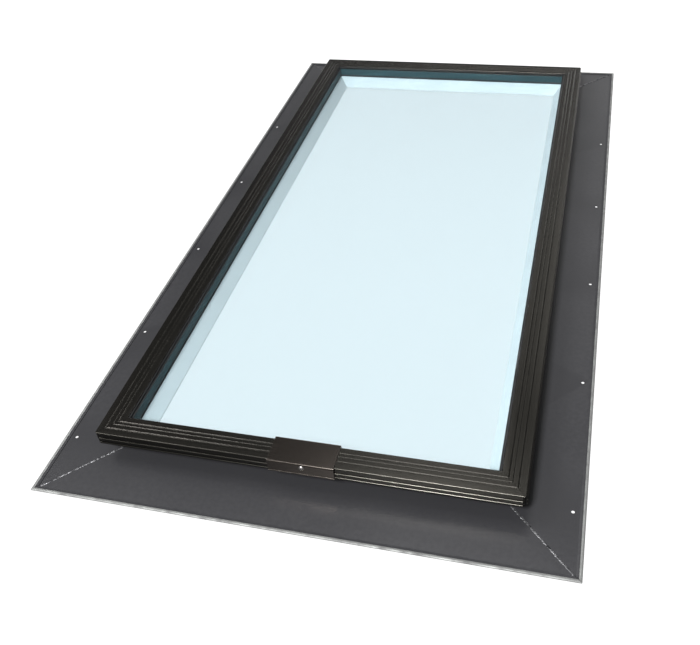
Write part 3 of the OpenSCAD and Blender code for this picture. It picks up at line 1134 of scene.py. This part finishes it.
class Palette:
    """Every finish on the skylight, built once."""

    def __init__(self, effects: Effects) -> None:
        """Builds the materials.

        Args:
            effects: The shared shader groups.
        """
        self.pan = CoatedMetal("pan_coat", (0.033, 0.033, 0.036), (0.09, 0.09, 0.095), 0.3,
                               grain=0.08, wave=0.1, dust=0.05, scuffs=0.1, wear=0.3,
                               specular=0.3).material(effects)
        # the cap's edge wear also paints the highlights along its groove shoulders
        self.cap = CoatedMetal("cap_coat", (0.063, 0.060, 0.053), (0.24, 0.23, 0.21), 0.24,
                               grain=0.02, wave=0.02, dust=0.03, scuffs=0.05, wear=0.6,
                               lines=0.2, metallic=1.0).material(effects)
        self.clip = CoatedMetal("clip_coat", (0.14, 0.122, 0.108), (0.18, 0.16, 0.14), 0.18,
                                grain=0.015, wave=0.02, dust=0.03, scuffs=0.06, wear=0.2,
                                metallic=1.0).material(effects)
        self.cut_edge = BareMetal("cut_edge", (0.62, 0.6, 0.57), (0.4, 0.38, 0.36), 0.32).material(effects)
        self.weld = BareMetal("weld_metal", (0.27, 0.27, 0.28), (0.06, 0.06, 0.064), 0.4, scale=190.0,
                              dulling=(0.38, 0.64)).material(effects)
        # painted highlight: lighter bare metal on the hem's roll, standing in for the light that the roll
        # catches
        self.rim = BareMetal("rubbed_rim", (0.42, 0.43, 0.42), (0.3, 0.3, 0.3), 0.6,
                             scale=60.0).material(effects)
        self.screw = BareMetal("plated_steel", (0.6, 0.59, 0.57), (0.42, 0.41, 0.4), 0.28).material(effects)
        self.key = BareMetal("mill_aluminium", (0.6, 0.6, 0.61), (0.45, 0.45, 0.46), 0.4).material(effects)
        self.spacer = CoatedMetal("spacer_coat", (0.010, 0.046, 0.056), (0.03, 0.08, 0.09), 0.55, wave=0.0,
                                  wear=0.1, dust=0.0, scuffs=0.0, lines=0.9, specular=0.2).material(effects)
        self.liner = Moulded("white_liner", (0.8, 0.8, 0.8), (0.84, 0.84, 0.84), 0.4,
                             grain=0.06).material(effects)
        self.tape = Moulded("tape_foam", (0.02, 0.02, 0.021), (0.035, 0.035, 0.036), 0.8,
                            grain=0.6, scale=1500.0).material(effects)
        self.gasket = Moulded("gasket_rubber", (0.012, 0.012, 0.013), (0.024, 0.024, 0.025),
                              0.5).material(effects)
        self.sealant = Moulded("sealant_black", (0.014, 0.014, 0.015), (0.025, 0.025, 0.026),
                               0.55).material(effects)
        self.glass = Glass("pane_glass", (0.88, 0.956, 0.983), (0.975, 0.995, 1.0)).material(effects)


# ---- The pan ----


@dataclass
class FlashingPan:
    """The welded flashing pan: four folded sheets, and a bead along each flange mitre."""

    layout: Layout
    palette: Palette
    sheet: float = 1.0
    bend_r: float = 1.0
    hem_w: float = 8.0
    hem_gap: float = 0.8
    hem_lean: float = 7.4
    roll_r: float = 2.84
    roll_turn: float = 30.0
    rim_flat: float = 1.5
    # width of the roll's painted highlight
    rim_w: float = 4.0
    seam: float = 0.7
    nail_d: float = 4.8
    nail_count: int = 5
    nail_pitch: float = 236.5
    nail_start: float = 102.5
    nail_edge: float = 17.5
    weld_half: float = 1.7
    weld_rise: float = 0.85
    weld_side: float = 1.2
    weld_sink: float = 0.04
    weld_tuck: float = 0.5
    ripple_pitch: float = 1.9
    stations: int = 9

    def section(self) -> Outline:
        """The folded sheet's section.

        The hem's roll is flatter at its top and foot, by a wide bend on each side of a tight one.

        Returns:
            The outline, from the hem's cut edge to the return under the glass.
        """
        at = self.layout
        lean = math.radians(self.hem_lean)
        turn = math.radians(self.roll_turn)
        drop = self.sheet + self.hem_gap
        tight = (drop - self.roll_r * (1 + math.cos(lean) - 2 * math.cos(turn))) / (2 * math.cos(turn))
        nose = self.sheet / 2 + tight * (1 - math.sin(turn))
        back = nose + self.roll_r * (math.sin(turn) + math.sin(lean))
        slope = self.hem_w - back
        z_cut = self.sheet / 2 + drop - slope * math.tan(lean)
        fold = Fold(-at.reach + self.hem_w, z_cut, math.pi - lean, self.sheet)
        fold.run((slope - self.rim_flat) / math.cos(lean)).run(self.rim_flat / math.cos(lean))
        fold.bend(self.roll_turn + self.hem_lean, self.roll_r - self.sheet / 2, steps=6)
        fold.bend(180.0 - 2 * self.roll_turn, tight - self.sheet / 2, steps=12)
        fold.bend(self.roll_turn, self.roll_r - self.sheet / 2, steps=6)
        fold.run(at.reach - nose - self.roll_r * math.sin(turn) - self.bend_r)
        fold.bend(90.0, self.bend_r)
        fold.run(at.z_upstand - 2 * self.sheet - 2 * self.bend_r)
        fold.bend(-90.0, self.bend_r)
        fold.run(at.v_sight - self.sheet - self.bend_r)
        return fold.outline()

    def build_sheets(self) -> None:
        """Makes the four sheets, the long ones drilled for nails."""
        at = self.layout
        drill = hole_row()
        for side in Side:
            name = "flashing_" + side.label
            mesh = mitred_bar(name, at, side, [self.section()], self.seam, self.stations)
            if side.is_long:
                x = math.copysign(at.half_w + at.reach - self.nail_edge, 1 if side is Side.RIGHT else -1)
                y = self.nail_start - at.half_l - at.reach
                piece = drill.make(name, mesh, {
                    "First hole": (x * MM, y * MM, self.sheet / 2 * MM),
                    "Pitch": (0.0, self.nail_pitch * MM, 0.0), "Count": self.nail_count,
                    "Radius": self.nail_d / 2 * MM, "Depth": 4 * self.sheet * MM,
                    "Material": self.palette.pan})
            else:
                piece = new_object(name, mesh, self.palette.pan)
            self.rub_rim(piece, side)
            finish_piece(shade(piece), "flashing", name)

    def rub_rim(self, piece: bpy.types.Object, side: Side) -> None:
        """Gives the rolled outer edge of one sheet a lighter bare-metal finish, a painted highlight for the
        light that the roll catches.

        Args:
            piece: The sheet.
            side: The side it lies along.
        """
        axis, half = (0, self.layout.half_w) if side.is_long else (1, self.layout.half_l)
        edge = (half + self.layout.reach - self.rim_w) * MM
        piece.data.materials.append(self.palette.rim)
        for face in piece.data.polygons:
            if abs(face.center[axis]) > edge:
                face.material_index = len(piece.data.materials) - 1

    def build_welds(self) -> None:
        """Makes the four beads, from inside the hem to the foot of the upstand."""
        at = self.layout
        bead = weld_run()
        aside = self.weld_side / math.sqrt(2)
        outer = at.reach - self.hem_w + self.weld_tuck
        inner = self.bend_r + self.weld_half
        for seed, (end, sy) in enumerate((("sill", -1), ("head", 1))):
            for hand, sx in (("left", -1), ("right", 1)):
                name = f"weld_{end}_{hand}"
                spots = [(sx * (at.half_w + v - aside) * MM, sy * (at.half_l + v + aside) * MM, 0.0)
                         for v in (outer, inner)]
                piece = bead.make(name, bpy.data.meshes.new(name), {
                    "Start": spots[0], "End": spots[1], "Half width": self.weld_half * MM,
                    "Rise": self.weld_rise * MM, "Ripple pitch": self.ripple_pitch * MM,
                    "Sheet height": (self.sheet - self.weld_sink) * MM, "Seed": 3.0 * seed + sx,
                    "Material": self.palette.weld})
                piece.data.shade_smooth()
                finish_piece(piece, "weld", name)

    def build(self) -> None:
        """Makes the whole pan."""
        self.build_sheets()
        self.build_welds()


# ---- The liner and the glass ----


@dataclass
class Liner:
    """The white frame inside the pan, which carries the return and lines the opening's edge."""

    layout: Layout
    palette: Palette
    lip: float = 2.0
    play: float = 1.3
    edge_r: float = 1.0
    inset: float = 0.5
    mitre_gap: float = 0.12

    def section(self) -> Outline:
        """The liner's section: an upright back, a low rounded lip at its foot and a sloping face.

        Returns:
            The outline.
        """
        at = self.layout
        r = self.edge_r
        shape = Outline()
        shape.to(self.play, 0.0).to(at.v_foot, 0.0)
        shape.arc(at.v_foot - r, self.lip - r / 2, r, 0.0, 45.0, edge=0.3)
        shape.to(at.v_sight - self.inset, at.z_return)
        shape.to(self.play + r, at.z_return).to(self.play, at.z_return - r)
        return shape

    def build(self) -> None:
        """Makes the four bars."""
        build_bars("liner", self.layout, [self.section()], self.mitre_gap, self.palette.liner)


@dataclass
class GlassUnit:
    """Two panes and the hollow bars that hold them apart."""

    layout: Layout
    palette: Palette
    arris: float = 0.5
    wall: float = 0.5
    spacer_w: float = 7.0
    mitre_gap: float = 0.3
    round_r: float = 0.8

    def build_panes(self) -> None:
        """Makes both panes, their edges ground to a small arris."""
        for name in ("inner_pane", "outer_pane"):
            low, high = box_mm(name)
            outline = [(low.x, low.y), (high.x, low.y), (high.x, high.y), (low.x, high.y)]
            pane = prism(name, outline, low.z, high.z, Matrix.Scale(MM, 4))
            piece = new_object(name, pane, self.palette.glass)
            arris = piece.modifiers.new("arris", "BEVEL")
            arris.width = self.arris * MM
            arris.segments = 1
            finish_piece(settle(piece), "glass", name)

    def rounded(self, v0: float, v1: float, z0: float, z1: float, r: float) -> Outline:
        """A rectangle with round corners.

        Args:
            v0: Its near side, as a distance inwards.
            v1: Its far side.
            z0: Its bottom.
            z1: Its top.
            r: The corners' radius.

        Returns:
            The outline.
        """
        shape = Outline()
        middles = ((v1 - r, z0 + r), (v1 - r, z1 - r), (v0 + r, z1 - r), (v0 + r, z0 + r))
        for quarter, (v, z) in enumerate(middles):
            start = 90.0 * quarter - 90.0
            shape.arc(v, z, r, start, start + 90.0, steps=5)
        return shape

    def build_spacers(self) -> None:
        """Makes the four spacer bars."""
        low, high = box_mm("spacer_sill")
        v1 = self.layout.v_sight
        v0 = v1 - self.spacer_w
        w = self.wall
        loops = [self.rounded(v0, v1, low.z, high.z, self.round_r),
                 self.rounded(v0 + w, v1 - w, low.z + w, high.z - w, self.round_r - w)]
        build_bars("spacer", self.layout, loops, self.mitre_gap, self.palette.spacer)

    def build(self) -> None:
        """Makes the panes and the bars."""
        self.build_panes()
        self.build_spacers()


# ---- The cap frame ----


@dataclass
class CapFrame:
    """The ridged cap frame: four mitred rails, their gaskets, and the screws under the skirt."""

    layout: Layout
    palette: Palette
    wall: float = 2.0
    skirt_drop: float = 21.0
    key_room: float = 10.4
    play: float = 0.3
    edge_r: float = 1.4
    lip_r: float = 0.6
    corner_r: float = 5.0
    mitre_gap: float = 0.25
    corner_clear: float = 1.0
    corner_steps: int = 12
    grooves: tuple[tuple[float, float, float], ...] = (
        (12.2, 1.3, 0.51), (20.2, 0.9, 0.34), (26.2, 1.3, 0.51))
    bead_r: float = 1.5
    bead_ups: tuple[float, ...] = (1.6, 10.1)
    gasket_bead: float = 1.0
    screw_l: float = 18.0
    screw_d: float = 4.2
    thread_start: float = 0.6
    thread_pitch: float = 1.3
    thread_turns: int = 11
    thread_flank: float = 0.35
    thread_root: float = 0.8
    tip: float = 0.2
    hex_across: float = 7.0
    hex_h: float = 3.2
    hex_chamfer: float = 0.5
    washer_d: float = 9.5
    washer_t: float = 0.9
    washer_chamfer: float = 0.3
    long_pitch: float = 420.0
    short_pitch: float = 360.0

    @property
    def v_leg_out(self) -> float:
        """Distance inwards of the inner leg's outer face."""
        return -self.play - self.wall

    def section(self) -> list[Outline]:
        """The rail's section.

        Each groove is given by its distance inwards of the skirt, half its width and its depth.

        Returns:
            The outline, and the hollow for the corner keys.
        """
        at = self.layout
        z_skirt = at.z_top - self.skirt_drop
        z_room = at.z_lip - self.key_room
        v_room = at.v_cap + self.wall
        small = self.bead_ups[0] - self.bead_r
        outer = Outline()
        outer.arc(at.v_cap + small, z_skirt + small, small, 270.0, 180.0, steps=3, edge=0.05)
        for up in self.bead_ups:
            outer.arc(at.v_cap, z_skirt + up, self.bead_r, 270.0, 90.0, steps=12, edge=0.0)
        outer.arc(at.v_cap + self.edge_r, at.z_top - self.edge_r, self.edge_r, 180.0, 90.0, edge=0.15)
        for u, half, depth in self.grooves:
            outer.groove(at.v_cap + u, at.z_top, half, depth)
        outer.arc(at.v_lip - self.lip_r, at.z_top - self.lip_r, self.lip_r, 90.0, 0.0, steps=5, edge=0.3)
        outer.to(at.v_lip, at.z_lip)
        outer.to(-self.play, at.z_lip)
        outer.to(-self.play, at.z_foot)
        outer.to(self.v_leg_out, at.z_foot)
        outer.to(self.v_leg_out, z_room - self.wall)
        outer.to(v_room, z_room - self.wall)
        outer.to(v_room, z_skirt)
        room = Outline()
        room.to(v_room, z_room).to(self.v_leg_out, z_room)
        room.to(self.v_leg_out, at.z_lip).to(v_room, at.z_lip)
        return [outer, room]

    def corner_tool(self, side: Side, end: int) -> bpy.types.Mesh:
        """The closed shape that grinds one end of a rail round, in plan.

        Args:
            side: The rail's side.
            end: 1 for the end at the higher x, -1 for the other.

        Returns:
            The tool's mesh.
        """
        at = self.layout
        r = self.corner_r
        clear = self.bead_r + self.corner_clear
        x_face = at.along(side) - at.v_cap
        outline = [(x_face - r, at.v_cap)]
        for i in range(1, self.corner_steps + 1):
            a = math.pi / 2 * i / self.corner_steps
            outline.append((x_face - r + r * math.sin(a), at.v_cap + r - r * math.cos(a)))
        outline += [(x_face + clear, at.v_cap + r), (x_face + clear, at.v_cap - clear)]
        outline.append((x_face - r, at.v_cap - clear))
        outline = [(end * x, v) for x, v in outline]
        return prism("corner_tool", outline, at.z_foot, at.z_top + self.corner_clear, at.place(side))

    def build_rails(self) -> None:
        """Makes the four rails."""
        for side in Side:
            name = "rail_" + side.label
            mesh = mitred_bar(name, self.layout, side, self.section(), gap=self.mitre_gap)
            piece = new_object(name, mesh, self.palette.cap)
            for end in (-1, 1):
                cut(piece, self.corner_tool(side, end))
            finish_piece(shade(piece), "cap", name)

    def build_gaskets(self) -> None:
        """Makes the four gaskets, each with a bead that shows beside the rail's lip."""
        at = self.layout
        r = self.gasket_bead
        v_out = box_mm("gasket_sill")[0].y + at.half_l
        shape = Outline()
        shape.to(v_out, at.z_glass).to(at.v_lip + r, at.z_glass)
        shape.arc(at.v_lip + r, at.z_glass + r, r, -90.0, 150.0, steps=14)
        shape.to(at.v_lip, at.z_lip).to(v_out, at.z_lip)
        build_bars("gasket", at, [shape], self.mitre_gap, self.palette.gasket)

    def screw_template(self) -> bpy.types.Object:
        """One hex washer screw, its point along +Z and its washer's face at z = 0.

        The thread's root and the tip are given as shares of the screw's radius.

        Returns:
            The screw as an object.
        """
        bm = bmesh.new()
        corner = self.hex_across / math.sqrt(3)
        top = -self.washer_t - self.hex_h
        lathe(bm, [(corner * 0.86, top), (corner, top + self.hex_chamfer), (corner, -self.washer_t)], 6)
        washer, chamfer = self.washer_d / 2, self.washer_chamfer
        lathe(bm, [(washer - chamfer, -self.washer_t), (washer, -self.washer_t + chamfer), (washer, 0.0)], 40)
        crest = self.screw_d / 2
        thread = [(crest, 0.0)]
        for turn in range(self.thread_turns):
            z = self.thread_start + turn * self.thread_pitch
            thread += [(crest * self.thread_root, z + self.thread_flank), (crest, z + self.thread_pitch / 2)]
        lathe(bm, thread + [(crest * self.tip, self.screw_l)], 20)
        bmesh.ops.scale(bm, vec=(MM,) * 3, verts=bm.verts)
        mesh = to_mesh(bm, "screw")
        mesh.shade_smooth()
        mesh.set_sharp_from_angle(angle=math.radians(35.0))
        return new_object("screw", mesh)

    def build_screws(self) -> None:
        """Puts the screws in a row along each side's inner leg."""
        at = self.layout
        screw_z = sum(c.z for c in box_mm("cap_screws")) / 2
        spots, turns = [], []
        for side in Side:
            half = self.long_pitch if side.is_long else self.short_pitch / 2
            for x in (-half, 0.0, half) if side.is_long else (-half, half):
                spots.append(at.place(side) @ Vector((x, self.v_leg_out, screw_z)))
                turns.append((-math.pi / 2, 0.0, math.radians(side.value)))
        base = bpy.data.meshes.new("screw_spots")
        base.from_pydata(spots, [], [])
        layer = base.attributes.new(TURN_NAME, "FLOAT_VECTOR", "POINT")
        for i, turn in enumerate(turns):
            layer.data[i].vector = turn
        screw = self.screw_template()
        piece = fastener_set().make("cap_screws", base, {"Fastener": screw, "Material": self.palette.screw})
        bpy.data.objects.remove(screw)
        finish_piece(piece, "screw", "cap_screws")

    def build(self) -> None:
        """Makes the whole cap frame."""
        self.build_rails()
        self.build_gaskets()
        self.build_screws()


# ---- The clip ----


@dataclass
class SillClip:
    """The folded clip over the middle of the sill rail, and its screw."""

    layout: Layout
    palette: Palette
    sheet: float = 1.5
    bend_r: float = 1.0
    kick_r: float = 0.8
    play: float = 0.3
    arris: float = 0.18
    head_d: float = 8.0
    head_h: float = 2.4
    shank_d: float = 3.8
    shank_l: float = 7.0
    recess_w: float = 0.95
    recess_l: float = 4.4
    dome_steps: int = 12

    def build_clip(self) -> None:
        """Makes the clip, its cut sides left bare."""
        at = self.layout
        low, high = box_mm("sill_clip")
        v_front = low.y + at.half_l + self.kick_r + self.sheet
        v_back = high.y + at.half_l
        z_kick = low.z + self.kick_r + self.sheet
        fold = Fold(v_front - self.kick_r - self.sheet, low.z + self.sheet / 2, 0.0, self.sheet)
        fold.bend(90.0, self.kick_r)
        fold.run(at.z_top - self.bend_r - z_kick)
        fold.bend(-90.0, self.bend_r)
        fold.run(v_back - fold.v - self.bend_r - self.sheet)
        fold.bend(-90.0, self.bend_r)
        fold.run(fold.z - at.z_glass - self.play)
        mesh = sweep("sill_clip", [fold.outline()], ((low.x, 0.0), (high.x, 0.0)), at.place(Side.SILL),
                     end_slot=1)
        piece = new_object("sill_clip", mesh, self.palette.clip, self.palette.cut_edge)
        soft = piece.modifiers.new("soft", "BEVEL")
        soft.width = self.arris * MM
        soft.segments = 2
        soft.limit_method = "ANGLE"
        soft.angle_limit = math.radians(60.0)
        soft.material = 1
        finish_piece(shade(settle(piece)), "clip", "sill_clip")

    def build_screw(self) -> None:
        """Makes the pan-head screw with its cross recess."""
        low, high = box_mm("clip_screw")
        radius, rise = self.head_d / 2, self.head_h
        dome = (radius**2 + rise**2) / (2 * rise)
        bm = bmesh.new()
        profile = [(0.05, -rise)]
        for i in range(1, self.dome_steps + 1):
            r = radius * math.sin(math.pi / 2 * i / self.dome_steps)
            profile.append((r, dome - rise - math.sqrt(dome**2 - r**2)))
        lathe(bm, profile + [(radius, 0.0)], 48)
        shank = self.shank_d / 2
        lathe(bm, [(shank, 0.0), (shank, self.shank_l), (shank * 0.25, high.y - low.y - rise)], 20)
        middle = (low + high) / 2
        place = Matrix.Scale(MM, 4) @ Matrix.Translation((middle.x, low.y + rise, middle.z))
        place = place @ Matrix.Rotation(-math.pi / 2, 4, "X")
        bmesh.ops.transform(bm, matrix=place, verts=bm.verts)
        piece = new_object("clip_screw", to_mesh(bm, "clip_screw"), self.palette.screw)
        half_l, half_w = self.recess_l / 2, self.recess_w / 2
        for a, b in ((half_l, half_w), (half_w, half_l)):
            outline = [(-a, -b), (a, -b), (a, b), (-a, b)]
            cut(piece, prism("recess", outline, -rise - 1.0, -rise / 2, place))
        finish_piece(shade(piece), "screw", "clip_screw")

    def build(self) -> None:
        """Makes the clip and its screw."""
        self.build_clip()
        self.build_screw()


# ---- Carried-over nodes, studio and main ----


def dress_packed_nodes(palette: Palette) -> None:
    """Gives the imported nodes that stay, all of them sealed in or hidden, their finishes.

    Args:
        palette: The finishes.
    """
    finishes = {
        "tape": palette.tape, "butyl": palette.sealant, "edge_seal": palette.sealant,
        "setting_block": palette.gasket, "spacer_key": palette.key, "corner_key": palette.key,
    }
    for name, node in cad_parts.items():
        for start, material in finishes.items():
            if name.startswith(start):
                node.data.materials.clear()
                node.data.materials.append(material)


@dataclass(frozen=True)
class Softbox:
    """A square soft light, aimed at the middle.

    The azimuth is its direction in degrees, from the head towards the right, and the elevation its height in
    degrees above the floor. Its power is in watts and its width in metres.
    """

    name: str
    azimuth: float
    elevation: float
    power: float
    width: float = 1.6

    def hang(self, distance: float) -> None:
        """Hangs the light.

        Args:
            distance: How far off, in metres.
        """
        a, e = math.radians(self.azimuth), math.radians(self.elevation)
        out = Vector((math.sin(a) * math.cos(e), math.cos(a) * math.cos(e), math.sin(e)))
        light = bpy.data.lights.new(self.name, "AREA")
        light.shape = "SQUARE"
        light.size = self.width
        light.energy = self.power
        lamp = bpy.data.objects.new(self.name, light)
        lamp.location = out * distance
        lamp.rotation_euler = (-out).to_track_quat("-Z", "Y").to_euler()
        bpy.context.scene.collection.objects.link(lamp)


@dataclass
class Studio:
    """The pale floor, the soft lights and the camera, in metres."""

    eye: Colour = (0.34377, -1.26848, 0.95613)
    right: Colour = (0.96938, 0.2333, -0.07665)
    up: Colour = (-0.09429, 0.64181, 0.76104)
    back: Colour = (0.22674, -0.73051, 0.64416)
    lens: float = 42.96
    sensor: float = 36.0
    shift: Point = (-0.0413, -0.0466)
    view_depth: float = 60.0
    floor_half: float = 9.0
    floor_drop: float = 0.0003
    floor_glow: Point = (0.94, 1.1)
    glow_reach: float = 0.6
    screen_far: float = 4.6
    screen_half_w: float = 5.0
    screen_half_h: float = 0.55
    screen_glow: float = 1.2
    room_light: float = 0.13
    light_distance: float = 5.0
    lights: tuple[Softbox, ...] = (
        Softbox("low_far", 14.0, 26.0, 7.0),
        Softbox("far", 13.0, 41.0, 8.0),
        Softbox("high", 0.0, 76.0, 18.0),
        Softbox("high_left", -16.0, 67.0, 10.0, width=1.2),
        Softbox("overhead", 180.0, 80.0, 6.0),
        Softbox("left", -90.0, 57.0, 75.0),
        Softbox("front", 187.0, 49.0, 300.0, width=0.8),
    )

    def flat_sheet(self, name: str, place: Matrix) -> bpy.types.Mesh:
        """One flat sheet that only the studio needs.

        Args:
            name: Name of the mesh.
            place: The matrix from a square of two metres, flat at z = 0, to the sheet.

        Returns:
            The sheet's mesh.
        """
        bm = bmesh.new()
        bmesh.ops.create_grid(bm, x_segments=1, y_segments=1, size=1.0)
        bmesh.ops.transform(bm, matrix=place, verts=bm.verts)
        return to_mesh(bm, name, outwards=False)

    def build_floor(self) -> None:
        """Lays the floor, whose own glow is hidden from mirrored rays."""
        place = Matrix.Translation((0.0, 0.0, -self.floor_drop)) @ Matrix.Scale(self.floor_half, 4)
        mesh = self.flat_sheet("floor", place)
        material, graph, shader = new_material("floor_paper")
        up_slope = graph.add("ShaderNodeSeparateXYZ", {0: graph.place()}).outputs["Y"]
        ray = graph.add("ShaderNodeLightPath").outputs
        mirrored = graph.math("SUBTRACT", ray["Is Glossy Ray"], ray["Is Transmission Ray"], clamp=True)
        glow = graph.ramp(up_slope, -self.glow_reach, self.glow_reach, *self.floor_glow)
        glow = graph.math("MULTIPLY", glow, graph.ramp(mirrored, 0.0, 1.0, 1.0, 0.0))
        graph.feed(shader, {"Base Color": (0.12, 0.12, 0.12, 1.0), "Roughness": 0.9,
                            "Specular IOR Level": 0.1, "Emission Color": WHITE, "Emission Strength": glow})
        new_object("floor", mesh, material)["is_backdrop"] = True

    def build_backdrop(self) -> None:
        """Stands a low white screen behind the head."""
        stand = Matrix.Translation((0.0, self.screen_far, self.screen_half_h))
        size = Matrix.Diagonal((self.screen_half_w, self.screen_half_h, 1.0, 1.0))
        mesh = self.flat_sheet("backdrop", stand @ Matrix.Rotation(math.pi / 2, 4, "X") @ size)
        material, graph, shader = new_material("backdrop_paper")
        graph.feed(shader, {"Emission Color": WHITE, "Emission Strength": self.screen_glow})
        new_object("backdrop", mesh, material)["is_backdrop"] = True

    def build_lights(self) -> None:
        """Hangs the lights and sets the room's own light."""
        world = bpy.data.worlds.new("studio")
        bpy.context.scene.world = world
        world.use_nodes = True
        graph = ShaderGraph(world.node_tree)
        seen = graph.add("ShaderNodeLightPath").outputs["Is Camera Ray"]
        graph.feed(world.node_tree.nodes["Background"], {
            "Color": WHITE, "Strength": graph.ramp(seen, 0.0, 1.0, self.room_light, 1.0)})
        for light in self.lights:
            light.hang(self.light_distance)

    def build_camera(self) -> None:
        """Sets the camera."""
        camera = bpy.data.cameras.new("camera")
        camera.lens = self.lens
        camera.sensor_width = self.sensor
        camera.shift_x, camera.shift_y = self.shift
        camera.clip_end = self.view_depth
        rig = bpy.data.objects.new("camera", camera)
        turn = Matrix((self.right, self.up, self.back)).transposed()
        rig.matrix_world = Matrix.Translation(Vector(self.eye)) @ turn.to_4x4()
        bpy.context.scene.collection.objects.link(rig)
        bpy.context.scene.camera = rig

    def build(self) -> None:
        """Makes the whole studio."""
        self.build_floor()
        self.build_backdrop()
        self.build_lights()
        self.build_camera()
        bpy.context.scene.view_settings.view_transform = "Standard"


def corners(box: Iterable[Vector]) -> list[list[float]]:
    """A box's corners, as plain lists."""
    return [list(corner) for corner in box]


def main() -> None:
    """Builds every sub-assembly in order."""
    logging.basicConfig(level=logging.INFO, format="%(name)s: %(message)s")
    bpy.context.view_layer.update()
    effects = Effects()
    palette = Palette(effects)
    layout = Layout.from_frame(reach=FLANGE_REACH, bead=CapFrame.bead_r)
    Studio().build()
    FlashingPan(layout, palette).build()
    Liner(layout, palette).build()
    GlassUnit(layout, palette).build()
    CapFrame(layout, palette).build()
    SillClip(layout, palette).build()
    dress_packed_nodes(palette)


if __name__ == "__main__":
    main()
